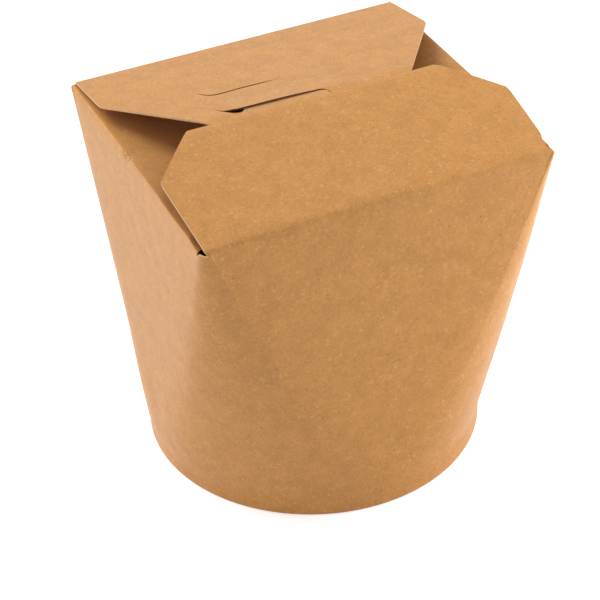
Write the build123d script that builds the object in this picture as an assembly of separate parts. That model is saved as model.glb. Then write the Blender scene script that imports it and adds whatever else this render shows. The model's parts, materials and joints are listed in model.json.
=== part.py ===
from build123d import *
import os
from math import atan2, cos, degrees, radians, sin, tan

# A round-footed noodle box in kraft board, closed. A folded sheet makes the wall, its
# glued seam, its turned-in hem and its flaps; a separate disc is held in the foot.
# The origin is the middle of the foot where it stands, +Z is up, the front faces -Y.

# Driving dimensions, in millimetres
top_width = 94.0            # outside, along the front and rear folds
top_depth = 86.4            # outside, along the side folds
overall_height = 101.6      # from the table to the ridge of the closed front flap
base_radius = 45.4          # outside of the round foot
card = 0.4                  # thickness of the board
glue = 0.03                 # glue line between two layers
crease = 1.2                # outside radius of the four scored corners at the top

# The foot
base_level = 6.0            # top of the base disc, and of the straight part of the wall
hem_height = 4.8            # how far the bottom edge is turned up inside
foot_crease = 0.25          # width of each of the two creases that turn the bottom edge
disc_crease = 0.6           # the same, of the crease between the disc and its skirt
skirt_gap = 0.15            # the skirt ends this far above the turn of the hem
corner_strips = 24          # flat strips in each corner cone, 0.02 mm from a true one

# The closed lid
front_tilt = 12.3           # the front flap rises from its fold by this angle
rear_tilt = 9.19            # and the rear flap by this one
side_tilt = -16.0           # the side flaps slope down into the box
ridge_bend = 14.0           # radius of the bend between the front flap and its tongue
tongue_dip = 13.0           # the tongue slopes down at this angle under the strap
fold_bend = 0.5             # bend of a fold, at mid thickness
score_gap = 0.1             # clearance between the wall and the rolled edge of the front flap

front_shoulder = (47.07, 24.0)      # half width and distance from the fold, seen from above
front_nose = (33.9, 38.6)           # the same at the ends of the leading edge
front_fold_half = 46.1
rear_shoulder = (46.4, 20.6)        # half width and distance along the flap
rear_nose = (23.6, 53.5)
rear_fold_half = 45.9
rear_shift = 0.3                    # the rear flap sits this far right of the middle
side_fold_half = 41.4
side_shoulder = (39.4, 22.0)
side_nose = (24.0, 39.0)
side_length = 38.0
flap_corner = 1.0                   # radius of the flaps' corners

# The two S-shaped slits of the rear flap, and the strap between them
slit_left = -18.5           # where the straight part starts, across the flap
slit_right = 4.3            # and where it ends
slit_width = 0.3
slit_hook = (5.0, 7.6)      # the left hook: across, and back towards the rear fold
slit_barb = (1.1, 4.4)      # the right hook: across, and forward
lower_slit = 44.75          # distance from the rear fold
upper_slit = 31.75
strap_rise = 0.5            # the tongue lifts the edge of the strap
lip_drop = 0.5              # and presses down the lip in front of the slit
lift_start = -22.0          # across the flap: the strap starts to rise here,
lift_full = -19.0           # is up from here to the right hook,
lift_end = 11.0             # and is down again here
press_start = -20.4         # the lip starts to sink here,
press_full = -16.8          # and is down from here to the right hook
lip_droop = ((48.0, 0.42), (53.5, 1.8))     # the lip bends down: distance along, drop

# The tongue, seen from above
tongue_left = -17.2
tongue_right = 5.05
tongue_length = 13.4        # past the leading edge
tongue_root = (6.5, 4.2)    # the left root's curve: along the leading edge, and back
tongue_round = 5.0

# The glued side seam, an outside lap beside the rear right corner
seam_width = 10.0

overcut = 3.0               # how far a cutting shape reaches past what it cuts

# Worked out from the driving dimensions
layer_pitch = card + glue
fold_x = top_width / 2 - card / 2
fold_y = top_depth / 2 - card / 2
half_sheet = top_width / 2 + overcut


def ridge_point():
    """Where the front flap and its tongue would meet unbent: from the fold, and up."""
    slit_y = 2 * fold_y - lower_slit * cos(radians(rear_tilt))
    slit_z = lower_slit * sin(radians(rear_tilt)) + (strap_rise - lip_drop) / 2
    rise = tan(radians(front_tilt))
    dip = tan(radians(tongue_dip))
    y = (slit_z + dip * slit_y) / (rise + dip)
    return y, rise * y


def ridge_height():
    """From the front score up to the top of the bend, at mid thickness."""
    half_turn = radians(front_tilt + tongue_dip) / 2
    lean = radians(front_tilt - tongue_dip) / 2
    return ridge_point()[1] + ridge_bend * (1 - cos(lean) / cos(half_turn))


score_height = overall_height - card / 2 - ridge_height()
wall_height = score_height - card / 2 - score_gap


def quarter_circle(x, y, z, radius, quarter):
    """Points along a quarter of a level circle, anticlockwise."""
    arc = CenterArc((x, y, z), radius, 90 * quarter, 90)
    return [arc @ (i / corner_strips) for i in range(corner_strips + 1)]


def wall_body(outset):
    """Flat panels between corner cones, which turn the rectangle into the circle.

    Each cone is a fan of flat strips from a quarter of the foot up to the tight crease
    at the top. Each panel is a triangle that stands on one point of the foot.
    """
    x = top_width / 2 - crease
    y = top_depth / 2 - crease
    centres = [(x, y), (-x, y), (-x, -y), (x, -y)]
    radius = base_radius + outset
    tops = [quarter_circle(*c, wall_height, crease + outset, i) for i, c in enumerate(centres)]
    feet = [quarter_circle(0, 0, base_level, radius, i) for i in range(4)]
    outlines = [sum(tops, []), sum([foot[:-1] for foot in feet], [])]
    for i in range(4):
        top, foot = tops[i], feet[i]
        outlines += zip(foot, foot[1:], top[1:], top)
        outlines.append([foot[-1], tops[(i + 1) % 4][0], top[-1]])
    faces = [Face(Wire.make_polygon(points)) for points in outlines]
    return Part() + Solid(Shell(faces))


def foot_ring():
    """The straight foot of the wall and the hem turned up inside the base's skirt."""
    outer = base_radius - card / 2
    inner = outer - 2 * layer_pitch
    level = card / 2
    path = Polyline(
        (outer, base_level),
        (outer, level + foot_crease),
        (outer - foot_crease, level),
        (inner + foot_crease, level),
        (inner, level + foot_crease),
        (inner, hem_height),
    )
    return revolve(Plane.XZ * trace(path, card), Axis.Z)


def seam_lap():
    """A second layer outside the rear panel, its edge running from fold to foot."""
    corner_angle = degrees(atan2(top_depth, top_width))
    edge_angle = corner_angle + degrees(seam_width / base_radius)
    corner_top = Vector(top_width / 2, top_depth / 2)
    edge_top = corner_top - Vector(seam_width, 0)
    corner_foot = Vector(base_radius, 0).rotate(Axis.Z, corner_angle)
    edge_foot = Vector(base_radius, 0).rotate(Axis.Z, edge_angle)
    reach = 0.3
    outline = Polyline(
        corner_top + (corner_top - corner_foot) * reach,
        edge_top + (edge_top - edge_foot) * reach,
        edge_foot + (edge_foot - edge_top) * reach,
        corner_foot + (corner_foot - corner_top) * reach,
        close=True,
    )
    prism = extrude(make_face(outline), wall_height)
    foot = Cylinder(base_radius + card, base_level, align=(Align.CENTER, Align.CENTER, Align.MIN))
    core = Cylinder(base_radius, base_level, align=(Align.CENTER, Align.CENTER, Align.MIN))
    layer = (wall_body(card) + foot) - wall_body(0) - core
    return layer & prism


def fold_plane(direction, distance):
    """Side view of a fold: local x runs inwards from it, local y is up."""
    outwards = Vector(*direction)
    origin = outwards * distance + Vector(0, 0, score_height)
    return Plane(origin=origin, x_dir=-outwards, z_dir=(-outwards).cross(Vector(0, 0, 1)))


def flap_strip(plane, tilt, length, half_width):
    """A strip of board that comes up out of the wall, folds, and runs inwards."""
    stub = 0.8
    tip = (length * cos(radians(tilt)), length * sin(radians(tilt)))
    path = FilletPolyline((0, -stub), (0, 0), tip, radius=fold_bend)
    return extrude(plane * trace(path, card), half_width, both=True)


def flat_plane(plane, tilt):
    """The flap's own plane: local y inwards along it, local z down through the board."""
    inwards = plane.x_dir * cos(radians(tilt)) + plane.y_dir * sin(radians(tilt))
    across = -plane.z_dir
    return Plane(origin=plane.origin, x_dir=across, z_dir=across.cross(inwards))


def outline_prism(plane, points):
    """Everything above and below a flap's outline."""
    face = make_face(Polyline(*points, close=True))
    face = fillet(face.vertices(), flap_corner)
    return extrude(plane * face, overcut, both=True)


def side_flap(direction):
    """A plain flap with tapered ends, folded down inside."""
    plane = fold_plane(direction, fold_x)
    strip = flap_strip(plane, side_tilt, side_length, side_fold_half)
    points = [
        (-side_fold_half, -overcut),
        (side_fold_half, -overcut),
        side_shoulder,
        side_nose,
        (-side_nose[0], side_nose[1]),
        (-side_shoulder[0], side_shoulder[1]),
    ]
    return strip & outline_prism(flat_plane(plane, side_tilt), points)


def slit_path(distance):
    """An S: hooked back at its left end, forward at its right end, drawn left to right."""
    hook_end = (slit_left - slit_hook[0], distance - slit_hook[1])
    barb_end = (slit_right + slit_barb[0], distance + slit_barb[1])
    hook = Spline(hook_end, (slit_left, distance), tangents=[(0, 1), (1, 0)])
    run = Line(hook @ 1, (slit_right, distance))
    bend = RadiusArc(run @ 1, (barb_end[0], distance + slit_barb[0]), -slit_barb[0])
    barb = Line(bend @ 1, barb_end)
    return [hook, run, bend, barb]


def slit_cutter(plane, distance):
    return extrude(plane * trace(slit_path(distance), slit_width), overcut, both=True)


def lip_area(plane):
    """Everything in front of the lower slit and left of its forward hook."""
    hook, run, bend, barb = slit_path(lower_slit)
    far = lip_droop[-1][0] + overcut
    corners = [(slit_right + slit_barb[0], far), (-half_sheet, far), (-half_sheet, lower_slit)]
    back = Polyline(barb @ 1, *corners, run @ 0)
    return extrude(plane * make_face([run, bend, barb, back]), overcut, both=True)


def section(plane, distance, heights):
    """A cut through the board across the rear flap: (place across, height) pairs."""
    top = [plane.from_local_coords((u, distance, -n - card / 2)) for u, n in heights]
    bottom = [plane.from_local_coords((u, distance, -n + card / 2)) for u, n in heights]
    return Wire.make_polygon(top + bottom[::-1], close=True)


def lip_sheet(plane, start):
    """The board in front of the lower slit, which droops under the front flap."""
    wires = [section(plane, lower_slit, start)]
    wires += [section(plane, v, [(u, -n) for u, _ in start]) for v, n in lip_droop]
    return Part() + Solid.make_loft(wires, ruled=True)


def rear_flap():
    """Rear flap with its two slits: the tongue lifts the strap and presses the lip down."""
    side = fold_plane((0, 1, 0), fold_y)
    plane = flat_plane(side, rear_tilt)
    hook_x = slit_right + slit_barb[0]
    across = [-half_sheet, lift_start, lift_full, hook_x, lift_end, half_sheet]
    lifted = [0, 0, strap_rise, strap_rise, 0, 0]
    strip = flap_strip(side, rear_tilt, upper_slit, half_sheet)
    strap = Solid.make_loft(
        [
            section(plane, upper_slit, [(u, 0) for u in across]),
            section(plane, lower_slit, list(zip(across, lifted))),
        ],
        ruled=True,
    )
    pressed = [(-half_sheet, 0), (press_start, 0), (press_full, -lip_drop), (hook_x + 1, -lip_drop)]
    raised = [(slit_right - 1, strap_rise), (hook_x, strap_rise), (lift_end, 0), (half_sheet, 0)]
    lip = lip_sheet(plane, pressed) & lip_area(plane)
    root = lip_sheet(plane, raised) - lip_area(plane)
    points = [
        (rear_shift - rear_fold_half, -overcut),
        (rear_shift + rear_fold_half, -overcut),
        (rear_shift + rear_shoulder[0], rear_shoulder[1]),
        (rear_shift + rear_nose[0], rear_nose[1]),
        (rear_shift - rear_nose[0], rear_nose[1]),
        (rear_shift - rear_shoulder[0], rear_shoulder[1]),
    ]
    flap = (strip + strap + lip + root) & outline_prism(plane, points)
    return flap - slit_cutter(plane, lower_slit) - slit_cutter(plane, upper_slit)


def front_flap_outline():
    """The front flap from above, its tongue reaching back to the strap."""
    nose_x, nose_y = front_nose
    shoulder_x, shoulder_y = front_shoulder
    end = nose_y + tongue_length
    root = Spline(
        (tongue_left - tongue_root[0], nose_y),
        (tongue_left, nose_y + tongue_root[1]),
        tangents=[(1, 0), (0, 1)],
    )
    rest = Polyline(
        root @ 0,
        (-nose_x, nose_y),
        (-shoulder_x, shoulder_y),
        (-front_fold_half, 0),
        (-front_fold_half, -overcut),
        (front_fold_half, -overcut),
        (front_fold_half, 0),
        (shoulder_x, shoulder_y),
        (nose_x, nose_y),
        (tongue_right, nose_y),
        (tongue_right, end),
        (tongue_left, end),
        root @ 1,
    )
    face = make_face([root, rest])
    face = fillet(face.vertices().group_by(Axis.Y)[-1], tongue_round)
    beside_tongue = (nose_x + tongue_root[0] - tongue_left) / 2
    corners = [v for v in face.vertices() if abs(v.X) > beside_tongue and v.Y > 0]
    return fillet(corners, flap_corner)


def front_flap():
    """Front flap: a rolled edge on the score, a bend at the ridge, the tongue."""
    side = fold_plane((0, -1, 0), fold_y)
    y, z = ridge_point()
    end = front_nose[1] + tongue_length + overcut
    tip = (end, z - tan(radians(tongue_dip)) * (end - y))
    path = FilletPolyline((0, 0), (y, z), tip, radius=ridge_bend)
    sheet = extrude(side * trace(path, card), half_sheet, both=True)
    outline = Pos(0, -fold_y, 0) * front_flap_outline()
    prism = extrude(outline, overall_height + overcut)
    rolled_edge = side * Cylinder(card / 2, 2 * front_fold_half)
    return (sheet & prism) + rolled_edge


def side_wall():
    """The main sheet, without the front flap."""
    shell = wall_body(0) - wall_body(-card)
    sheet = shell + foot_ring() + seam_lap()
    sheet += side_flap((1, 0, 0)) + side_flap((-1, 0, 0))
    return sheet + rear_flap()


def base_disc():
    """The base: a disc whose edge is turned down into a skirt."""
    skirt = base_radius - card / 2 - layer_pitch
    level = base_level - card / 2
    path = Polyline(
        (0, level),
        (skirt - disc_crease, level),
        (skirt, level - disc_crease),
        (skirt, card + skirt_gap),
    )
    return revolve(Plane.XZ * trace(path, card), Axis.Z)


os.makedirs("parts", exist_ok=True)
export_step(side_wall(), "parts/side_wall.step")
export_step(front_flap(), "parts/front_flap.step")
export_step(base_disc(), "parts/base_disc.step")
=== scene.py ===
# %% [markdown]
# # A closed noodle box in kraft board
# The box is one folded sheet of brown board round a pressed base. Its foot is a circle
# and its top is a rectangle, so every wall changes from flat to round on the way down.
# The rear flap has two S-shaped slits, and the front flap's tongue goes under the strap
# between them. Each cell makes one piece or one finish and prints what it made.
#
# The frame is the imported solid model. It gives the sizes and the places, and the pieces
# made here follow it in metres.

# %% Load the frame
import json
import bpy
import numpy as np
from mathutils import Matrix, Vector


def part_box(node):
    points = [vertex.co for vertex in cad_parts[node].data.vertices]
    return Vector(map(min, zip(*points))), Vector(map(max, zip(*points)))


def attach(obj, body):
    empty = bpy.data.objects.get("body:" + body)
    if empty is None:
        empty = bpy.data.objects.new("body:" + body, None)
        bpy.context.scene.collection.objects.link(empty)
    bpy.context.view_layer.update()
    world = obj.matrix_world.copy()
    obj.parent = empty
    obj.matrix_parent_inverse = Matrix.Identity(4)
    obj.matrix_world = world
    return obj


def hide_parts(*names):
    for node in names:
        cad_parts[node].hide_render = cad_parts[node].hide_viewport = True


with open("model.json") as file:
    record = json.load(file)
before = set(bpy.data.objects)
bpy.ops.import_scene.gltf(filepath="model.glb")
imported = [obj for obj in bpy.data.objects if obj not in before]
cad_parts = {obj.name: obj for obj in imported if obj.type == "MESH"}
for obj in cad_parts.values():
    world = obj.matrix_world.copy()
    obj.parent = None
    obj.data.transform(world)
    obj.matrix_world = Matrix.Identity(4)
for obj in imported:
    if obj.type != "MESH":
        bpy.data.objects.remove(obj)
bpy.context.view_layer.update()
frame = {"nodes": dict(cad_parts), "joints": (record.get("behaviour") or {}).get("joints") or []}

# %% [markdown]
# ## Sizes
# A box maker would call these the finished sizes: the top, the foot, the height of the
# folds and the thickness of the board. They come from the frame, so that the looks and
# the solids can't drift apart. What the frame can't tell is given in millimetres.

# %% Read the sizes from the frame
mm = 0.001
card = 0.4 * mm
hinge_y, hinge_z = frame["joints"][0]["pos_m"][1:]
wall_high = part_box("side_wall")[1]
half_width = wall_high.x
half_depth = card / 2 - hinge_y
foot_radius = wall_high.y
base_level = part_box("base_disc")[1].z
fold_level = hinge_z + card / 2
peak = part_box("front_flap")[1].z
print(f"top {2 * half_width:.4f} by {2 * half_depth:.4f}, foot radius {foot_radius:.4f}")
print(f"base level {base_level:.4f}, folds at {fold_level:.4f}, peak {peak:.4f}")

# %% [markdown]
# ## From a grid to a sheet of board
# Board is thin and even, so one surface describes it: the side that shows. Solidify then
# gives it its thickness, away from that side, and puts the cut edges in a second material.
# It is better than drawing both sides, because a fold or a bulge is then made only once.

# %% Grids and their faces


def grid_faces(rows, columns, closed=False):
    """Corner numbers of every cell of a grid, row by row; closed joins the last column to the first."""
    cells = columns if closed else columns - 1
    row, column = np.meshgrid(np.arange(rows - 1), np.arange(cells), indexing="ij")
    after = (column + 1) % columns
    corners = [row * columns + column, row * columns + after]
    corners += [(row + 1) * columns + after, (row + 1) * columns + column]
    return np.stack(corners, -1).reshape(-1, 4)


def sheet_mesh(name, surfaces):
    """One piece from several grids: (points of shape rows, columns, 3; closed or not; turned or not)."""
    points, faces, count = [], [], 0
    for grid, closed, turned in surfaces:
        cells = grid_faces(grid.shape[0], grid.shape[1], closed) + count
        faces.append(cells[:, ::-1] if turned else cells)
        points.append(grid.reshape(-1, 3))
        count += grid.shape[0] * grid.shape[1]
    mesh = bpy.data.meshes.new(name)
    mesh.from_pydata(np.concatenate(points).tolist(), [], np.concatenate(faces).tolist())
    piece = bpy.data.objects.new(name, mesh)
    bpy.context.scene.collection.objects.link(piece)
    return piece


def ease(value, start, end):
    """0 before start, 1 after end, and a smooth S between them."""
    t = np.clip((value - start) / (end - start), 0.0, 1.0)
    return t * t * (3 - 2 * t)


print("cells in a grid of 3 rows and 4 columns:", len(grid_faces(3, 4)))

# %% [markdown]
# ## Thickness and crisp cuts
# Shading that is soft everywhere would also round the corners of the cut edges, and a cut
# edge of board looks sharp. So a small node group marks the sharp edges after Solidify has
# made them. It is quicker than marking them by hand, and holds wherever a cut is moved to.

# %% From a surface to board
weld_reach = 0.004 * mm
sharp_angle = np.radians(50.0)


def crisp_edges():
    """Modifier nodes that mark every edge sharper than sharp_angle, so that a cut keeps its corners."""
    tree = bpy.data.node_groups.new("crisp cut edges", "GeometryNodeTree")
    for way in ("INPUT", "OUTPUT"):
        tree.interface.new_socket("Geometry", in_out=way, socket_type="NodeSocketGeometry")
    start, end, angle, is_sharp, shade = (tree.nodes.new(kind) for kind in (
        "NodeGroupInput", "NodeGroupOutput", "GeometryNodeInputMeshEdgeAngle",
        "FunctionNodeCompare", "GeometryNodeSetShadeSmooth"))
    is_sharp.operation = "GREATER_THAN"
    is_sharp.inputs[1].default_value = sharp_angle
    shade.domain = "EDGE"
    shade.inputs["Shade Smooth"].default_value = False
    tree.links.new(angle.outputs["Unsigned Angle"], is_sharp.inputs[0])
    tree.links.new(start.outputs[0], shade.inputs["Geometry"])
    tree.links.new(is_sharp.outputs[0], shade.inputs["Selection"])
    tree.links.new(shade.outputs[0], end.inputs[0])
    return tree


crisp = crisp_edges()


def board(piece):
    """Weld the grids where they meet, shade them softly and give them the board's thickness."""
    join = piece.modifiers.new("join", "WELD")
    join.merge_threshold = weld_reach
    solid = piece.modifiers.new("board", "SOLIDIFY")
    solid.thickness = card
    solid.offset = -1.0
    solid.material_offset_rim = 1
    piece.data.shade_smooth()
    piece.modifiers.new("crisp", "NODES").node_group = crisp
    print(f"{piece.name}: {len(piece.data.vertices)} points before welding")


print("modifier for the cuts:", crisp.name)

# %% [markdown]
# ## A fold
# Scored board never folds to a knife edge. A simple way to round a fold is a hyperbola:
# far from the fold it runs along the two straight sides, and near it it cuts the corner.
# One number sets how softly, and it may change along the fold, as hand pressure does.

# %% A rounded fold between two directions


def folded(corner, down, along, distance, softness):
    """Points at a distance from a fold: minus is down the wall, plus is out along the flap.

    Each straight side is multiplied by half of (distance plus or minus the root of
    distance squared plus softness squared), which is a hyperbola between the sides.
    """
    root = np.sqrt(distance ** 2 + softness ** 2)
    before = ((root - distance) / 2)[..., None]
    after = ((root + distance) / 2)[..., None]
    return corner + down * before + along * after


fold_here = folded(np.zeros(3), np.array([0, 0, -1]), np.array([0, 1, 0]), np.zeros(1), 0.5 * mm)
print("a fold 0.5 mm soft stays this far from its corner:", np.linalg.norm(fold_here).round(6))

# %% [markdown]
# ## The wall
# The four panels are flat triangles, nearly up to their edges. Between them a corner cone
# turns from a tight crease at the top to a quarter of the foot. So a wall column is a
# straight line from the foot circle to the rounded rectangle, and the surface is ruled.
# Board doesn't start to bend at a sharp line, so the last columns of a panel already fan
# out a little. At the foot the sheet goes straight down, turns under the base's skirt and
# comes up again inside as a hem.

# %% Columns of the wall
# Corners are counted anticlockwise from the rear right one, and sides from the right one.
# A crease is the radius of a corner's arc at the top.
creases = np.array([0.45, 0.45, 1.5, 0.6]) * mm
corner_count = 30
panel_foot = np.radians(14.0)
panel_bend = 8


def spread(*stretches):
    """Places along a line: (start, end, number) stretches, one after the other."""
    parts = [np.linspace(a, b, n, endpoint=False) for a, b, n in stretches]
    return np.concatenate(parts + [[stretches[-1][1]]])


def corner_columns(quarter):
    """Top and foot points of one corner cone: a small arc at the top and a longer one at the foot."""
    sign_x = (1, -1, -1, 1)[quarter]
    sign_y = (1, 1, -1, -1)[quarter]
    share = (np.arange(corner_count) + 0.5) / corner_count
    turn = np.pi / 2 * (quarter + share)
    turn_foot = np.pi / 2 * quarter + panel_foot + (np.pi / 2 - 2 * panel_foot) * share
    radius = creases[quarter]
    centre = np.array([sign_x * (half_width - radius), sign_y * (half_depth - radius)])
    top = centre + radius * np.stack([np.cos(turn), np.sin(turn)], -1)
    foot = foot_radius * np.stack([np.cos(turn_foot), np.sin(turn_foot)], -1)
    return top, foot


def panel_ends(side):
    """Where a panel's straight top starts and stops, between its two corners."""
    half = (half_depth, half_width)[side % 2]
    return creases[side - 1] - half, half - creases[side]


def panel_columns(side, across):
    """Top and foot points of a panel; across runs anticlockwise from the panel's middle.

    The foot's angle off the middle is panel_foot times a power, panel_bend, of the place's
    share of the half panel.
    """
    turn = np.pi / 2 * side
    out = np.array([np.cos(turn), np.sin(turn)])
    along = np.array([-out[1], out[0]])
    reach = (half_width, half_depth)[side % 2]
    first, last = panel_ends(side)
    top = out * reach + along * across[:, None]
    side_share = 2 * (across - first) / (last - first) - 1
    angle = turn + panel_foot * np.sign(side_share) * np.abs(side_share) ** panel_bend
    foot = foot_radius * np.stack([np.cos(angle), np.sin(angle)], -1)
    return top, foot


print("straight top of the front panel:", np.round(panel_ends(3), 5))

# %% [markdown]
# ## The slits decide the rear flap's columns
# Each slit is an S: a hook back at the left, a straight run, and a barb forward at the
# right. A grid can carry such a cut if its rows bend along it and its columns are close
# together where the S turns. Those columns run up the rear panel too, so the fold has no
# seam. The rear panel's places are therefore worked out from the slits.

# %% The S of a slit
slit_left = -18.5 * mm
slit_right = 2.9 * mm
hook = (5.0 * mm, 7.6 * mm)
barb = (2.5 * mm, 4.2 * mm)
barb_power = 2.3
slit_skew = 0.035
skew_middle = -12 * mm
skew_reach = (-10 * mm, 18 * mm)
fade = 10 * mm


def slit_curve(x):
    """How far the S lies in front of its middle, at each place across the flap.

    The run is a little askew. The hook is a quarter ellipse, and the barb a quarter of a
    squarer one. Past the S's ends the row swings back to nothing along a smooth step.
    """
    into_hook = np.clip((slit_left - x) / hook[0], 0, 1)
    into_barb = np.clip((x - slit_right) / barb[0], 0, 1)
    back = hook[1] * (1 - np.sqrt(1 - into_hook ** 2))
    forward = barb[1] * (1 - (1 - into_barb ** barb_power) ** (1 / barb_power))
    past_hook = ease(x, slit_left - hook[0] - fade, slit_left - hook[0])
    past_barb = 1 - ease(x, slit_right + barb[0], slit_right + barb[0] + fade)
    run = slit_skew * np.clip(x - skew_middle, *skew_reach)
    return (forward + run) * past_barb * past_hook - back * past_hook


print("the S reaches from", slit_curve(slit_left - hook[0]), "to", slit_curve(slit_right + barb[0]))

# %% Places of the rear flap's columns
rear_fold_half = 45.9 * mm
rear_shift = 0.3 * mm
core = 23.58 * mm
turns = np.linspace(0, np.pi / 2, 15)
hook_places = slit_left - hook[0] * np.sin(turns[::-1])
barb_places = slit_right + barb[0] * np.sin(turns) ** (2 / barb_power)
rear_places = np.concatenate([
    spread((rear_shift - rear_fold_half, -core, 20), (-core, hook_places[0], 1))[:-1],
    hook_places[:-1],
    spread((slit_left, slit_right, 44))[:-1],
    barb_places[:-1],
    spread((barb_places[-1], 12 * mm, 14), (12 * mm, core, 10))[:-1],
    spread((core, rear_shift + rear_fold_half, 20)),
])
print("rear columns:", len(rear_places))

# %% [markdown]
# ## Panels and the flaps on them
# A flap is a little narrower than its panel, so that it can fold past its neighbours.
# Along a flap the panel's columns run on over the fold. Beside it, and round the corner,
# the board ends at a cut edge, which the die puts a little lower than the folds. The front
# flap is a piece of its own, so the front panel ends just under its score.

# %% Columns of the four panels
side_fold_front = 40.0 * mm
side_fold_rear = 42.2 * mm
front_score = (45.4 * mm, 46.2 * mm)
front_flat = 28 * mm
corner_drops = np.array([0.9, 0.9, 1.75, 0.9]) * mm
drop_run = 0.6 * mm
side_drop = 0.9 * mm
score_drop = 0.455 * mm
beside_count = 4
beside_gap = 0.06 * mm


def panel(side, places, drop):
    """A panel's columns: top, foot, depth of the rim under the fold, and whether a flap goes on there.

    The rim lies drop deep along the flap and side_drop beside it, and eases to the depth
    of each corner.
    """
    first, last = panel_ends(side)
    before = np.linspace(first, places[0] - beside_gap, beside_count)
    after = np.linspace(places[-1] + beside_gap, last, beside_count)
    across = np.concatenate([before, places, after])
    top, foot = panel_columns(side, across)
    is_flap = (across >= places[0]) & (across <= places[-1])
    beside = side_drop + (corner_drops[side - 1] - side_drop) * ease(places[0] - across, 0, drop_run)
    beside = beside + (corner_drops[side] - side_drop) * ease(across - places[-1], 0, drop_run)
    return top, foot, np.where(is_flap, drop, beside), is_flap


right_places = spread((-side_fold_front, side_fold_rear, 90))
front_places = spread(
    (-front_score[0], -front_flat, 24), (-front_flat, front_flat, 14), (front_flat, front_score[1], 24))
panels = {
    0: panel(0, right_places, 0.0),
    1: panel(1, -rear_places[::-1], 0.0),
    2: panel(2, -right_places[::-1], 0.0),
    3: panel(3, front_places, score_drop),
}
print("columns in each panel:", [len(panels[side][0]) for side in panels])

# %% [markdown]
# ## How each fold is made
# Each flap leaves its fold at its own angle: the side flaps slope down into the box, the
# rear flap rises a little, and the front flap closes over it. The folds differ in softness
# too. The left one is crushed towards the rear and has a worn spot, which the board's
# colours show as well, so its place is a value that both use.

# %% Angles and softness
side_tilt = np.radians(-16.0)
rear_tilt = np.radians(9.19)
front_tilt = np.radians(12.3)
worn_y = 3.4 * mm


def front_softness(x):
    """1.5 mm in the middle of the front score, and down to 0.7 mm at its ends by a fourth power."""
    return (0.7 + 0.8 * (1 - (x / half_width) ** 4)) * mm


def fold_softness(side, top):
    """How softly each column folds.

    The left fold is 0.3 mm soft. The crushed stretch adds up to 1 mm by two smooth steps,
    and the worn spot 0.5 mm as a bell.
    """
    x, y = top[:, 0], top[:, 1]
    if side == 2:
        crushed = ease(y, -12 * mm, 24 * mm) * (1 - 0.6 * ease(y, 33 * mm, 42 * mm))
        nick = np.exp(-((y - worn_y) / (2.4 * mm)) ** 2)
        return (0.3 + 1.0 * crushed + 0.5 * nick) * mm
    if side == 3:
        return front_softness(x)
    return np.full(len(y), (0.5, 0.4)[side] * mm)


def level(points, height):
    """Plan points, lifted to a height."""
    return np.concatenate([points, np.full(points.shape[:-1] + (1,), height)], -1)


def flap_direction(side, tilt):
    """Unit vector inwards along a flap that leaves its fold at this tilt."""
    turn = np.pi / 2 * side
    return np.array([-np.cos(turn) * np.cos(tilt), -np.sin(turn) * np.cos(tilt), np.sin(tilt)])


print("front score softness, middle and end:", front_softness(np.array([0, half_width])))

# %% [markdown]
# ## One ring of columns
# The corners and panels are joined into one ring, so the wall has no seam between them.
# The left fold hangs a little lower towards its front end, as on a box that was handled.

# %% Join the columns and let the left fold sag
tilts = {0: side_tilt, 1: rear_tilt, 2: side_tilt, 3: front_tilt}
sag_depth = 0.8 * mm
tops, feet, drops, softs, leads = [], [], [], [], []
for quarter in range(4):
    top, foot = corner_columns(quarter)
    tops.append(top)
    feet.append(foot)
    drops.append(np.full(len(top), corner_drops[quarter]))
    softs.append(np.zeros(len(top)))
    leads.append(np.tile(flap_direction(0, 0.0), (len(top), 1)))
    side = (quarter + 1) % 4
    top, foot, drop, is_flap = panels[side]
    tops.append(top)
    feet.append(foot)
    drops.append(drop)
    softs.append(fold_softness(side, top) * is_flap)
    leads.append(np.tile(flap_direction(side, tilts[side]), (len(top), 1)))
top_points = level(np.concatenate(tops), fold_level)
foot_points = level(np.concatenate(feet), base_level)
to_left = ease(-top_points[:, 0], 46 * mm, 46.8 * mm)
forward = -top_points[:, 1]
sag = sag_depth * (ease(forward, 14 * mm, 26 * mm) + ease(forward, 34 * mm, 40 * mm))
top_points[:, 2] -= sag * to_left * (1 - ease(forward, 40 * mm, 41.7 * mm))
drop = np.concatenate(drops)
softness = np.concatenate(softs)
lead = np.concatenate(leads)
print("wall columns:", len(top_points))

# %% [markdown]
# ## Rows of the wall
# A row is every column at the same share of its length. The rows are close together at
# the fold, where the board turns, and even below it. A folded box is never quite a ruled
# surface: the board swells a little in places, and that is added in plan. The last rows
# go round the foot and up inside as the hem, past the skirt of the base.

# %% Rows from the fold to the hem
foot_turn = 0.5 * mm
hem_height = 4.8 * mm
hem_radius = foot_radius - 3 * card - 0.06 * mm


def wall_down():
    """Unit vectors down the wall, column by column, and each column's length."""
    step = foot_points - top_points
    length = np.linalg.norm(step, axis=-1)
    return step / length[:, None], length


def billow(points):
    """How far the board stands out from the ruled shape, in plan.

    One swell is at mid height, thirty degrees round from the right side to the front, and
    two low ones at the foot are on the left. Each is a bell round the box, times a smooth
    rise and fall with height.
    """
    turn = np.degrees(np.arctan2(points[..., 1], points[..., 0]))
    z = points[..., 2]
    right = np.exp(-((turn + 30) / 22) ** 2)
    left = np.exp(-((np.abs(turn) - 160) / 25) ** 2)
    swell = ease(z, 8 * mm, 40 * mm) * (1 - ease(z, 60 * mm, 90 * mm))
    low = ease(z, 0.0, 6 * mm) * (1 - ease(z, 12 * mm, 34 * mm))
    out = 0.55 * mm * right * swell + 0.5 * mm * left * low
    return points * np.array([1.0, 1.0, 0.0]) / foot_radius * out[..., None]


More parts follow.
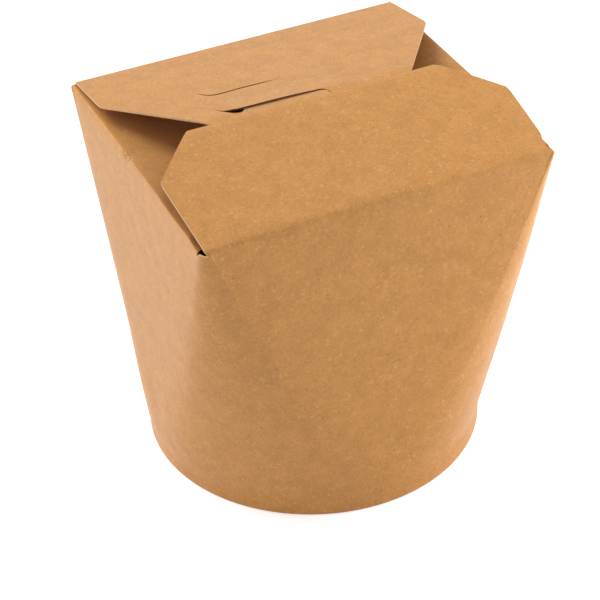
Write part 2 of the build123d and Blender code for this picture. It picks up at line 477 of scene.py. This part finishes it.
def wall_rows(share):
    """The ruled wall: share 1 is the fold and share 0 the foot, on each column's line."""
    down, length = wall_down()
    distance = -length + share[:, None] * (length - drop)
    rows = folded(top_points, down, lead, distance, softness)
    return rows + billow(rows)


def foot_rows():
    """Below the base's level: straight down, round the turn, and up again as the hem."""
    quarter = np.linspace(0, np.pi / 2, 6)
    outer = foot_radius - foot_turn + foot_turn * np.cos(quarter)
    inner = hem_radius + foot_turn - foot_turn * np.sin(quarter)
    falling = foot_turn - foot_turn * np.sin(quarter)
    rising = foot_turn - foot_turn * np.cos(quarter)
    radius = np.concatenate([[foot_radius] * 3, outer, inner, [hem_radius] * 2])
    height = np.concatenate([base_level * np.array([0.75, 0.5, 0.25]), falling, rising,
                             [hem_height / 2, hem_height]])
    ring = foot_points[:, :2] / foot_radius
    rows = [level(ring * r, z) for r, z in zip(radius, height)]
    return np.stack(rows)


upper_shares = 1 - np.array([0, 0.05, 0.15, 0.4, 0.8, 1.3, 2, 3, 4.5, 6.5, 9]) * mm / fold_level
shares = np.concatenate([upper_shares, np.linspace(upper_shares[-1], 0, 34)[1:]])
wall_grid = np.concatenate([wall_rows(shares), foot_rows()])
print("wall grid:", wall_grid.shape)

# %% [markdown]
# ## The side flaps
# They are the first to be folded in, and slope down towards the food. Only a part of the
# left one shows, in the gap beside the front flap. A flap's columns start at the same
# places as its panel's, and fan inwards to follow its outline. The outline is given by two
# points, each a half width and a distance from the fold: the shoulder and the nose.

# %% A flap's outline
side_shoulder = (39.4 * mm, 22 * mm)
side_nose = (24 * mm, 38 * mm)
outline_rounding = 0.2 * mm
notch_end = 2.2 * mm


def half_outline(distance, fold_half, shoulder, nose, notch=0.0):
    """A flap's half width at a distance from its fold: the smooth lower one of two straight edges.

    A notch narrows the flap beside its fold, as the die does where it turns the corner.
    """
    first = fold_half + (shoulder[0] - fold_half) * distance / shoulder[1]
    first = first - notch * ease(distance, 0, notch_end) * (1 - ease(distance, notch_end, shoulder[1]))
    slope = (nose[0] - shoulder[0]) / (nose[1] - shoulder[1])
    second = shoulder[0] + slope * (distance - shoulder[1])
    return (first + second - np.sqrt((first - second) ** 2 + outline_rounding ** 2)) / 2


def fan(place, half, fold_half, still):
    """Columns nearer the middle than still run straight, and the outer ones follow the outline."""
    outside = (np.abs(place) - still) / (fold_half - still)
    outer = np.sign(place) * (still + outside * (half - still))
    return np.where(np.abs(place) <= still, place, outer)


at_shoulder = half_outline(side_shoulder[1], side_fold_front, side_shoulder, side_nose)
print(f"a side flap's half width at its shoulder: {at_shoulder:.5f}")

# %% The two side flaps
side_still = 10 * mm
side_notches = (1.9 * mm, 0.4 * mm)
side_dip = 1.4 * mm
fold_rows = np.array([0, 0.15, 0.4, 0.8, 1.3, 2, 3, 4.5, 6.5]) * mm
plain_start = 9 * mm


def side_flap(side, corner, foot):
    """One plain side flap, folded along the panel's own columns.

    Its front end dips by side_dip, by a smooth step from the fold inwards and another from
    the flap's middle forwards.
    """
    top = corner[:, :2]
    distance = np.concatenate([fold_rows, np.linspace(plain_start, side_nose[1], 20)])[:, None]
    turn = np.pi / 2 * side
    along = np.array([-np.sin(turn), np.cos(turn), 0])
    start = top @ along[:2]
    in_front = top[:, 1] < 0
    fold_half = np.where(in_front, side_fold_front, side_fold_rear)
    notch = np.where(in_front, *side_notches)
    half = half_outline(distance, fold_half, side_shoulder, side_nose, notch)
    place = fan(start, half, fold_half, side_still)
    shift = (place - start)[..., None] * along
    dip = side_dip * ease(distance, 0, 6 * mm) * ease(-top[:, 1], 0, 34 * mm)
    shift = shift - dip[..., None] * np.array([0, 0, 1.0])
    down = level(foot, base_level) - corner
    down /= np.linalg.norm(down, axis=-1, keepdims=True)
    soft = fold_softness(side, top)
    return folded(corner, down, flap_direction(side, side_tilt), distance + 0 * place, soft) + shift


side_surfaces = []
for side in (0, 2):
    first = sum(len(part) for part in tops[:2 * ((side - 1) % 4) + 1]) + beside_count
    columns = slice(first, first + len(right_places))
    side_surfaces.append((side_flap(side, top_points[columns], foot_points[columns, :2]), False, False))
print("side flap grid:", side_surfaces[0][0].shape)

# %% [markdown]
# ## The rear flap and its strap
# The strap between the slits is pushed up by the tongue under it, and the lip in front of
# the slit is pushed down. Three grids share the same columns: fold to upper slit, strap,
# and lip. Where two of them meet at the same height the weld closes them, and along the
# slits they stay apart.

# %% Heights of the rear flap
rear_shoulder = (46.4 * mm, 20.6 * mm)
rear_nose = (23.6 * mm, 53.5 * mm)
upper_slit = 31.9 * mm
lower_slit = 44.9 * mm
strap_rise = 0.6 * mm
strap_back = 0.15 * mm
lip_drop = 0.42 * mm
lift_end = 49 * mm
droop_depth = 1.8 * mm


def droop(distance):
    """The front of the flap is bent down by the front flap that lies on it, by a smooth step."""
    return droop_depth * ease(distance, 45 * mm, 56 * mm)


def raised(x, distance):
    """Height of the flap where the tongue lifts it, from the rear fold over the strap to the front.

    The strap's front edge and its back edge each have a height that rises from the left
    and falls to the right by smooth steps. Between them the height grows by a power of 1.6.
    """
    front = strap_rise * ease(x, -22.3 * mm, -19.6 * mm) * (1 - 0.4 * ease(x, -6 * mm, 4 * mm))
    front = front * (1 - ease(x, 5 * mm, 11 * mm))
    back = strap_back * ease(x, -17 * mm, -12 * mm) * (1 - ease(x, 2 * mm, 12 * mm))
    over = np.clip((distance - upper_slit) / (lower_slit - upper_slit), 0, 1) ** 1.6
    height = back * ease(distance, 14 * mm, upper_slit) + (front - back) * over
    return height * (1 - ease(distance, lower_slit, lift_end)) - droop(distance)


def pressed(x, distance):
    """Height of the lip in front of the lower slit: pressed down by the tongue, less at the left."""
    down = lip_drop * ease(x, -21.8 * mm, -18.6 * mm)
    return -down * (1 - ease(distance, lower_slit, lift_end)) - droop(distance)


strap_front = raised(np.array([-10 * mm]), np.array([lower_slit]))
print("strap's front edge stands off the flap's plane by", strap_front.round(6))

# %% Three strips with the slits between them
slit_width = 0.56 * mm
lip_cut = 1.5 * mm
hair = 0.001 * mm


def slit_open(x):
    """1 along a slit and 0 past its ends, by a slow step at the left and a quick one at the right."""
    left, right = slit_left - hook[0], slit_right + barb[0]
    return ease(x, left, left + 1.5 * mm) * (1 - ease(x, right - 0.15 * mm, right))


def rear_surface(distance, height):
    """Rear flap points from their distance to the fold and their height off its plane."""
    x = rear_places[None, :] - rear_shift
    half = half_outline(distance, rear_fold_half, rear_shoulder, rear_nose)
    place = fan(x, half, rear_fold_half, core) + rear_shift
    top, foot = panel_columns(1, -rear_places)
    corner = level(top, fold_level)
    down = level(foot, base_level) - corner
    down /= np.linalg.norm(down, axis=-1, keepdims=True)
    soft = fold_softness(1, top)
    shift = (place - rear_places)[..., None] * np.array([1.0, 0, 0])
    lean = np.array([0, np.sin(rear_tilt), np.cos(rear_tilt)])
    flat = folded(corner, down, flap_direction(1, rear_tilt), distance, soft)
    return flat + shift + height[..., None] * lean


def rows_between(start, stop, number):
    """Distances from one line across the flap to another, in even steps."""
    share = np.linspace(0, 1, number)[:, None]
    return start + share * (stop - start)


curve = slit_curve(rear_places)
is_open = slit_open(rear_places)
# The upper slit closes towards its right end, and the lower one is wider in its hook.
gaping = 1 - ease(rear_places, -8 * mm, 0.5 * mm)
upper_gap = is_open * gaping * slit_width / 2
lower_gap = is_open * (0.3 + 0.3 * ease(-rear_places, 18 * mm, 20 * mm)) * mm / 2
# Beside the barb's end the lip is cut back, so that there is a small open hole.
cut_back = is_open * ease(rear_places, 4.2 * mm, 4.9 * mm) * lip_cut
to_slit = rows_between(plain_start, upper_slit + curve - upper_gap, 16)
first = np.concatenate([fold_rows[:, None] + 0 * curve, to_slit])
second = rows_between(upper_slit + curve + upper_gap, lower_slit + curve - lower_gap, 14)
third = rows_between(lower_slit + curve + lower_gap + cut_back, rear_nose[1], 12)
is_lip = rear_places < slit_right + barb[0] + hair
lip = np.where(is_lip, pressed(rear_places, third), raised(rear_places, third))
rear_surfaces = [
    (rear_surface(first, raised(rear_places, first)), False, True),
    (rear_surface(second, raised(rear_places, second)), False, True),
    (rear_surface(third, lip), False, True),
]
print("rear flap rows:", len(first), len(second), len(third))

# %% [markdown]
# ## One sheet
# The wall, the side flaps and the rear flap are one blank on the real box, so they become
# one mesh, welded where their columns meet. Each point also carries a mark: 1 on the two
# rows beside an open slit, where the cut edge is painted near black as the shade in the
# slit's gap, and 0 elsewhere.

# %% Weld the wall and its flaps
surfaces = [(wall_grid, True, True)] + side_surfaces + rear_surfaces
wall = sheet_mesh("kraft_wall", surfaces)
board(wall)
# These marks are painted shade: the cut edges beside the open slits turn near black, like the shadow in
# their gaps.
slit_shade_marks = [np.zeros(grid.shape[:2]) for grid, closed, turned in surfaces]
slit_shade_marks[-3][-1] = slit_shade_marks[-2][0] = is_open * gaping
slit_shade_marks[-2][-1] = slit_shade_marks[-1][0] = ease(is_open, 0, 0.2)
# The attribute named crushed holds painted shade for the slits' gaps, not real crushing of the board.
crushed = wall.data.attributes.new("crushed", "FLOAT", "POINT")
crushed.data.foreach_set("value", np.concatenate([mark.ravel() for mark in slit_shade_marks]))
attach(wall, "box")
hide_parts("side_wall")

# %% [markdown]
# ## The glued seam
# A blank has to be closed into a tube somewhere. Here a lap ten millimetres wide runs
# down the outside, beside the rear right corner, and ends on the rear panel. Its rows take
# their shape from the wall's own rows, so the lap lies on the wall however that bends.

# %% The lap
seam_width = 10 * mm
seam_gap = 0.03 * mm
seam_rows = slice(5, len(shares) + 3)


def seam_lap():
    """A second layer over the wall, from the middle of the rear right corner.

    Each row runs along the wall's own row as far as seam_width, and is then moved outwards
    by the board's thickness, less beside the corner, where it comes out of the wall.
    """
    across = np.linspace(0, 1, 20)
    rows = []
    for row in wall_grid[seam_rows]:
        line = row[len(tops[0]) // 2:len(tops[0]) + len(tops[1])]
        run = np.append(0, np.cumsum(np.linalg.norm(np.diff(line, axis=0), axis=-1)))
        rows.append(np.stack([np.interp(across * seam_width, run, line[:, k]) for k in range(3)], -1))
    rows = np.stack(rows)
    tangent = np.gradient(rows, axis=1)
    normal = np.stack([tangent[..., 1], -tangent[..., 0], 0 * tangent[..., 0]], -1)
    normal /= np.linalg.norm(normal, axis=-1, keepdims=True)
    out = (card + seam_gap) * ease(across, 0.02, 0.12)
    return rows + normal * out[:, None]


seam = sheet_mesh("seam_lap", [(seam_lap(), False, True)])
board(seam)
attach(seam, "box")

# %% [markdown]
# ## The front flap and its tongue
# It closes last, so it carries the ridge of the box. It rises from its fold, bends over
# the ridge, and its tongue dives under the strap. Its height depends on the distance
# from the fold alone: the lower of a rising and a falling line, with the corner rounded.

# %% Height of the front flap
tongue_dip = np.radians(13.0)
peak_room = 0.03 * mm
slit_reach = 2 * half_depth - lower_slit * np.cos(rear_tilt)
slit_height = lower_slit * np.sin(rear_tilt) + (strap_rise - lip_drop) / 2
wall_lean = (foot_radius - half_depth) / (fold_level - base_level)


def front_height(distance):
    """Height over the fold: the smooth lower one of the rising and the falling line.

    That is half their sum, less the root of half their difference squared plus the
    rounding squared. The rounding is chosen so that the ridge just reaches the peak.
    """
    rising = distance * np.tan(front_tilt)
    falling = slit_height - (distance - slit_reach) * np.tan(tongue_dip)
    corner = (slit_height + slit_reach * np.tan(tongue_dip)) / (np.tan(front_tilt) + np.tan(tongue_dip))
    rounding = corner * np.tan(front_tilt) - (peak - peak_room - fold_level)
    return (rising + falling) / 2 - np.sqrt(((rising - falling) / 2) ** 2 + rounding ** 2)


def front_points(place, distance):
    """Front flap points: across, and distance from the fold seen from above; minus is down the wall."""
    root = np.sqrt(distance ** 2 + front_softness(place) ** 2)
    reach = (root + distance) / 2
    below = (root - distance) / 2
    y = -half_depth + reach - wall_lean * below
    z = fold_level + front_height(reach) - front_height(0.0) - below
    return np.stack([place, y + 0 * place, z + 0 * place], -1)


print(f"the flap meets the slit {slit_reach:.5f} from its fold and {slit_height:.5f} over it")

# %% [markdown]
# ## The front flap's outline
# The sheet is a fan of columns again, with the ones at the tongue's root closer together.
# At the left end of the fold a small tab runs further down the wall and narrows as it
# goes. At the right end the die cuts the flap back a little beside its fold.

# %% The front flap up to its nose
front_shoulder = (47.05 * mm, 24 * mm)
front_nose = (33.9 * mm, 38.6 * mm)
front_fold_half = 46.15 * mm
front_still = 26 * mm
tab_edge = 45.45 * mm
tab_length = 2.7
tab_taper = 0.4
relief_depth = 0.7 * mm
tongue_left = -16.4 * mm
tongue_right = 4.8 * mm
tongue_root = (8.3 * mm, 6.0 * mm)
root_places = tongue_left - tongue_root[0] * np.sin(turns[::-1])
front_across = np.concatenate([
    spread((-front_fold_half, -tab_edge, 3), (-tab_edge, -front_score[0], 1))[:-1],
    spread((-front_score[0], -front_still, 12)),
    root_places[:-1],
    spread((tongue_left, tongue_right, 36), (tongue_right, front_still, 16))[:-1],
    spread((front_still, front_fold_half, 12)),
])
close_rows = np.array([-0.45, -0.4, -0.2, 0, 0.2, 0.45, 0.8, 1.3, 2, 3, 4.5, 6.5]) * mm
lid_rows = np.concatenate([close_rows, spread((9 * mm, 30 * mm, 11)), spread((31 * mm, front_nose[1], 11))])
tab = tab_length * ease(-front_across, front_score[0], tab_edge)
past_fold = np.maximum(lid_rows, 0)[:, None]
before_fold = np.minimum(lid_rows, 0)[:, None] * (1 + tab)
half = half_outline(past_fold, front_fold_half, front_shoulder, front_nose) + tab_taper * before_fold
relief = relief_depth * ease(past_fold, 0, 1.5 * mm) * (1 - ease(past_fold, 4 * mm, 7 * mm))
half = half - relief * (front_across > 0)
front_place = fan(front_across, half, front_fold_half, front_still)
front_grid = front_points(front_place, past_fold + before_fold)
print("front flap grid:", front_grid.shape)

# %% [markdown]
# ## The tongue
# The tongue is a second grid on the same surface, joined to the flap's nose. It grows out
# of a quarter ellipse at its left root, and its tip has round corners. Its columns keep
# their share of the width, so they bend with the outline.

# %% The tongue, and both made into one piece
tongue_length = 13.4 * mm
tongue_round = 5 * mm
in_tongue = (front_across > root_places[0] - hair) & (front_across < tongue_right + hair)
start = front_across[in_tongue]
share = (start - start[0]) / (start[-1] - start[0])
root_end = front_nose[1] + tongue_root[1]
tip_end = front_nose[1] + tongue_length
along = np.concatenate([
    front_nose[1] + tongue_root[1] * (1 - np.cos(turns)),
    np.linspace(root_end, tip_end - tongue_round, 6)[1:],
    tip_end - tongue_round + tongue_round * np.sin(turns[1:]),
])
into_root = np.clip((root_end - along) / tongue_root[1], 0, 1)
into_tip = np.clip((along - tip_end + tongue_round) / tongue_round, 0, 1)
tip = tongue_round * (1 - np.sqrt(1 - into_tip ** 2))
left = tongue_left - tongue_root[0] * (1 - np.sqrt(1 - into_root ** 2)) + tip
right = tongue_right - tip
across = left[:, None] + (right - left)[:, None] * share
tongue_grid = front_points(across, along[:, None])
lid = sheet_mesh("kraft_flap", [(front_grid, False, False), (tongue_grid, False, False)])
board(lid)
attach(lid, "lid_flap")
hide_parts("front_flap")

# %% [markdown]
# ## Layers for a material
# A procedural finish is a stack of small layers: a noise, a step that cuts it into spots,
# and a mix that lays a colour on them. Each layer is a function here, so that the board's
# own recipe stays short enough to read.

# %% Functions for noises, steps and mixes


def node(tree, kind, **values):
    """A new node with its settings and the defaults of its named inputs."""
    made = tree.nodes.new(kind)
    for key, value in values.items():
        if key in made.inputs:
            made.inputs[key].default_value = value
        else:
            setattr(made, key, value)
    return made


def noise(tree, place, size, detail=2.0, shift=0.0):
    """Noise whose blotches are about size metres across; shift picks another part of it."""
    mapping = node(tree, "ShaderNodeMapping", Scale=[1 / size] * 3, Location=[shift] * 3)
    tree.links.new(place.outputs["Object"], mapping.inputs["Vector"])
    made = node(tree, "ShaderNodeTexNoise", Scale=1.0, Detail=detail, Roughness=0.6)
    tree.links.new(mapping.outputs[0], made.inputs["Vector"])
    return made.outputs["Fac"]


def step(tree, value, low, high, top=1.0):
    """0 at low and top at high, smooth between."""
    made = node(tree, "ShaderNodeMapRange", interpolation_type="SMOOTHSTEP")
    made.inputs["From Min"].default_value = low
    made.inputs["From Max"].default_value = high
    made.inputs["To Max"].default_value = top
    tree.links.new(value, made.inputs["Value"])
    return made.outputs[0]


def maths(tree, operation, first, second):
    """One operation on two values, each a socket or a number."""
    made = node(tree, "ShaderNodeMath", operation=operation)
    for socket, value in zip(made.inputs, (first, second)):
        if isinstance(value, float):
            socket.default_value = value
        else:
            tree.links.new(value, socket)
    return made.outputs[0]


def blend(tree, factor, first, second):
    """Mix two colours, each a socket or three numbers, by a factor socket."""
    made = node(tree, "ShaderNodeMix", data_type="RGBA")
    tree.links.new(factor, made.inputs["Factor"])
    for socket, colour in ((made.inputs[6], first), (made.inputs[7], second)):
        if isinstance(colour, tuple):
            socket.default_value = (*colour, 1.0)
        else:
            tree.links.new(colour, socket)
    return made.outputs[2]


print("kinds of layer:", [layer.__name__ for layer in (noise, step, maths, blend)])

# %% [markdown]
# ## Kraft board
# Unbleached pulp is nearly even in colour from afar. Close up, thin pale fibres lie in
# patches, with a few dark specks of bark between them, and seen low the matt surface has
# a white sheen. Every layer is a noise in the object's own coordinates, so neighbouring
# panels match and nothing slides. Thin curly fibres are the lines where a smooth noise
# passes its middle value.

# %% Fibres and the worn spot
kraft_brown = (0.60, 0.268, 0.061)
fibre_colour = (0.88, 0.53, 0.22)
speck_colour = (0.30, 0.115, 0.028)
# The near-black colour below is painted shade for the slits' gaps, laid on their cut edges.
slit_shade_colour = (0.09, 0.03, 0.008)
worn_place = (-46.8 * mm, worn_y, 93.0 * mm)
worn_radii = (1.3 * mm, 4.0 * mm, 1.3 * mm)


def fibres(tree, place, size, width, shift, top):
    """Thin lines where a noise passes its middle, kept only in patches, top strong."""
    off_middle = maths(tree, "SUBTRACT", noise(tree, place, size, 1.0, shift), 0.5)
    off_middle = maths(tree, "ABSOLUTE", off_middle, 0.0)
    line = step(tree, off_middle, width, 0.3 * width, top)
    patch = step(tree, noise(tree, place, 1.7 * size, 2.0, shift + 7.0), 0.55, 0.64)
    return maths(tree, "MULTIPLY", line, patch)


def near(tree, place, centre, radii):
    """1 near the middle of an ellipsoid and 0 outside it."""
    scale = [1 / radius for radius in radii]
    shift = [-c * s for c, s in zip(centre, scale)]
    mapping = node(tree, "ShaderNodeMapping", Scale=scale, Location=shift)
    tree.links.new(place.outputs["Object"], mapping.inputs["Vector"])
    length = node(tree, "ShaderNodeVectorMath", operation="LENGTH")
    tree.links.new(mapping.outputs[0], length.inputs[0])
    return step(tree, length.outputs["Value"], 1.0, 0.6)


def worn(tree, place, colour):
    """The colour with torn fibres on it at the worn spot: pale where a noise is low, dark where high."""
    spot = near(tree, place, worn_place, worn_radii)
    torn = noise(tree, place, 0.7 * mm, 2.0, 41.0)
    pale_part = maths(tree, "MULTIPLY", spot, step(tree, torn, 0.45, 0.38, 0.4))
    dark_part = maths(tree, "MULTIPLY", spot, step(tree, torn, 0.5, 0.56, 0.8))
    return blend(tree, dark_part, blend(tree, pale_part, colour, fibre_colour), speck_colour)


print("worn spot at", np.round(worn_place, 4))

# %% [markdown]
# ## The board's recipe
# The colour is built from the bottom up: two browns mixed by clouds and grain, pale fibres
# in two sizes, dark streaks and specks, and the worn spot. The same fibres stand up in the
# bump, because on real board they are what catches the light.

# %% Kraft material


def kraft(name, brown=kraft_brown):
    """Uncoated kraft board: soft clouds, pale fibres, dark streaks and specks, and a fine tooth."""
    material = bpy.data.materials.new(name)
    material.use_nodes = True
    tree = material.node_tree
    shader = tree.nodes["Principled BSDF"]
    place = node(tree, "ShaderNodeTexCoord")
    pale = tuple(1.12 * c + 0.012 for c in brown)
    deep = tuple(0.84 * c for c in brown)
    clouds = step(tree, noise(tree, place, 5 * mm, 4.0), 0.3, 0.7, 0.4)
    grain = step(tree, noise(tree, place, 0.7 * mm, 4.0, 3.0), 0.25, 0.75, 0.6)
    colour = blend(tree, maths(tree, "ADD", clouds, grain), deep, pale)
    lines = maths(tree, "MAXIMUM", fibres(tree, place, 1.5 * mm, 0.022, 0.0, 0.42),
                  fibres(tree, place, 0.9 * mm, 0.03, 20.0, 0.5))
    colour = blend(tree, lines, colour, fibre_colour)
    streaks = fibres(tree, place, 1.2 * mm, 0.03, 33.0, 0.3)
    specks = step(tree, noise(tree, place, 0.8 * mm, 1.0, 11.0), 0.7, 0.76, 0.6)
    colour = blend(tree, maths(tree, "MAXIMUM", streaks, specks), colour, speck_colour)
    tree.links.new(worn(tree, place, colour), shader.inputs["Base Color"])
    shader.inputs["Roughness"].default_value = 0.6
    shader.inputs["Specular IOR Level"].default_value = 0.5
    shader.inputs["Sheen Weight"].default_value = 0.42
    shader.inputs["Sheen Roughness"].default_value = 0.3
    relief = maths(tree, "ADD", lines, noise(tree, place, 0.4 * mm, 3.0, 5.0))
    bump = node(tree, "ShaderNodeBump", Strength=0.35, Distance=0.04 * mm)
    tree.links.new(relief, bump.inputs["Height"])
    tree.links.new(bump.outputs[0], shader.inputs["Normal"])
    return material


def paint_slit_shade(material):
    """Paint shade on the cut edge: near black where the mark on the slits' rows is 1, as in the slits'
    gaps.
    """
    tree = material.node_tree
    base = tree.nodes["Principled BSDF"].inputs["Base Color"]
    plain = base.links[0].from_socket
    # The attribute named crushed carries the painted shade of the slits' gaps.
    mark = node(tree, "ShaderNodeAttribute", attribute_name="crushed")
    tree.links.new(blend(tree, mark.outputs["Fac"], plain, slit_shade_colour), base)


# %% [markdown]
# ## Which board goes where
# The sheets have two materials: the face, and the paler cut edge that Solidify gave the
# rim. The base disc stays the solid of the frame, and only its finish is new.

# %% Put the materials on
edge_brown = (0.74, 0.44, 0.20)
board_face = kraft("kraft board")
cut_edge = kraft("cut edge of kraft board", edge_brown)
# The cut edge also gets painted shade: near black along the open slits.
paint_slit_shade(cut_edge)
for piece in (wall, seam, lid):
    piece.data.materials.append(board_face)
    piece.data.materials.append(cut_edge)
disc = frame["nodes"]["base_disc"]
disc.data.materials.clear()
disc.data.materials.append(kraft("kraft base"))
print("materials:", [m.name for m in bpy.data.materials])

# %% [markdown]
# ## Camera
# The camera stands in front of the box and a little to its left, and looks down on it. Its
# place was worked out from the corners, folds and foot of the box in the photograph.

# %% Camera
azimuth, elevation, roll = np.radians([-24.48, 36.49, -1.83])
distance_to_box = 571.07 * mm
slide = (-3.81 * mm, 29.03 * mm)
focal_pixels = 2053.55
image_pixels = 600


def camera_axes():
    """Right, up and back axes of the camera, from its azimuth, elevation and roll."""
    level_part = np.cos(elevation)
    back = np.array([np.sin(azimuth) * level_part, -np.cos(azimuth) * level_part, np.sin(elevation)])
    right = np.array([np.cos(azimuth), np.sin(azimuth), 0])
    up = np.cross(back, right)
    c, s = np.cos(roll), np.sin(roll)
    return np.stack([c * right + s * up, c * up - s * right, back])


axes = camera_axes()
eye = axes.T @ np.array([*slide, distance_to_box])
camera = bpy.data.objects.new("camera", bpy.data.cameras.new("camera"))
bpy.context.scene.collection.objects.link(camera)
camera.matrix_world = Matrix.Translation(Vector(eye)) @ Matrix(axes.T.tolist()).to_4x4()
camera.data.sensor_width = 36.0
camera.data.lens = focal_pixels * camera.data.sensor_width / image_pixels
camera.data.clip_start = 0.01
bpy.context.scene.camera = camera
print("camera at", np.round(eye, 4), "lens", round(camera.data.lens, 2))

# %% [markdown]
# ## Floor and light
# The box stands on a plain white table in soft light. The room is bright, as inside a
# light tent, with one large soft lamp behind and to the left, and two weak ones at the
# sides. The left panel and the rear flap, which face the large lamp, are the palest. The
# front panel faces none of them and is the deepest brown.

# %% What the camera sees past the box
# The floor's own glow and the light that falls on it add up to white.
floor_glow = 0.5
room_light = 0.45


def seen(tree):
    """1 for rays that come from the camera, from gloss or from glass, and 0 for the rest."""
    rays = node(tree, "ShaderNodeLightPath")
    direct = maths(tree, "MAXIMUM", rays.outputs["Is Camera Ray"], rays.outputs["Is Glossy Ray"])
    return maths(tree, "MAXIMUM", direct, rays.outputs["Is Transmission Ray"])


def white_floor():
    """White to the camera, to gloss and to glass, less its own shadow; plain pale grey to the rest."""
    material = bpy.data.materials.new("white floor")
    material.use_nodes = True
    tree = material.node_tree
    shader = tree.nodes["Principled BSDF"]
    shader.inputs["Base Color"].default_value = (0.8, 0.8, 0.8, 1)
    shader.inputs["Roughness"].default_value = 0.9
    shader.inputs["Specular IOR Level"].default_value = 0.0
    shader.inputs["Emission Color"].default_value = (1, 1, 1, 1)
    tree.links.new(maths(tree, "MULTIPLY", seen(tree), floor_glow), shader.inputs["Emission Strength"])
    return material


floor_half = 3.0
floor_corners = [(x * floor_half, y * floor_half, 0) for x, y in ((-1, -1), (1, -1), (1, 1), (-1, 1))]
floor_mesh = bpy.data.meshes.new("floor")
floor_mesh.from_pydata(floor_corners, [], [(0, 1, 2, 3)])
floor_mesh.materials.append(white_floor())
floor = bpy.data.objects.new("floor", floor_mesh)
bpy.context.scene.collection.objects.link(floor)

world = bpy.data.worlds.new("light tent")
bpy.context.scene.world = world
world.use_nodes = True
background = world.node_tree.nodes["Background"]
background.inputs["Color"].default_value = (1, 1, 1, 1)
world_strength = maths(world.node_tree, "MAXIMUM", seen(world.node_tree), room_light)
world.node_tree.links.new(world_strength, background.inputs["Strength"])
print("floor", 2 * floor_half, "m wide, room light", room_light)

# %% [markdown]
# ## Lamps
# An area lamp's size sets how soft its shadow is. The watts of the three lamps were
# chosen together, so that every panel is about as bright as in the photograph.

# %% Lamps


def soft_lamp(name, place, target, size, watts):
    """A square area lamp at a place, turned towards a target."""
    lamp = bpy.data.lights.new(name, "AREA")
    lamp.size = size
    lamp.energy = watts
    made = bpy.data.objects.new(name, lamp)
    bpy.context.scene.collection.objects.link(made)
    made.location = place
    made.rotation_euler = (Vector(target) - Vector(place)).to_track_quat("-Z", "Y").to_euler()
    print(f"{name}: {watts} W, {size} m wide")


middle = (0, 0, 0.06)
soft_lamp("rear left lamp", (-0.60, 0.82, 0.93), middle, 0.8, 12.0)
soft_lamp("left lamp", (-0.70, 0.0, 0.45), middle, 0.5, 1.0)
soft_lamp("right lamp", (0.24, -0.10, 0.12), middle, 0.2, 0.62)

# %% [markdown]
# ## View settings
# The view settings stay plain, so that a colour comes out about as it is written.

# %% View settings
bpy.context.scene.view_settings.view_transform = "Standard"
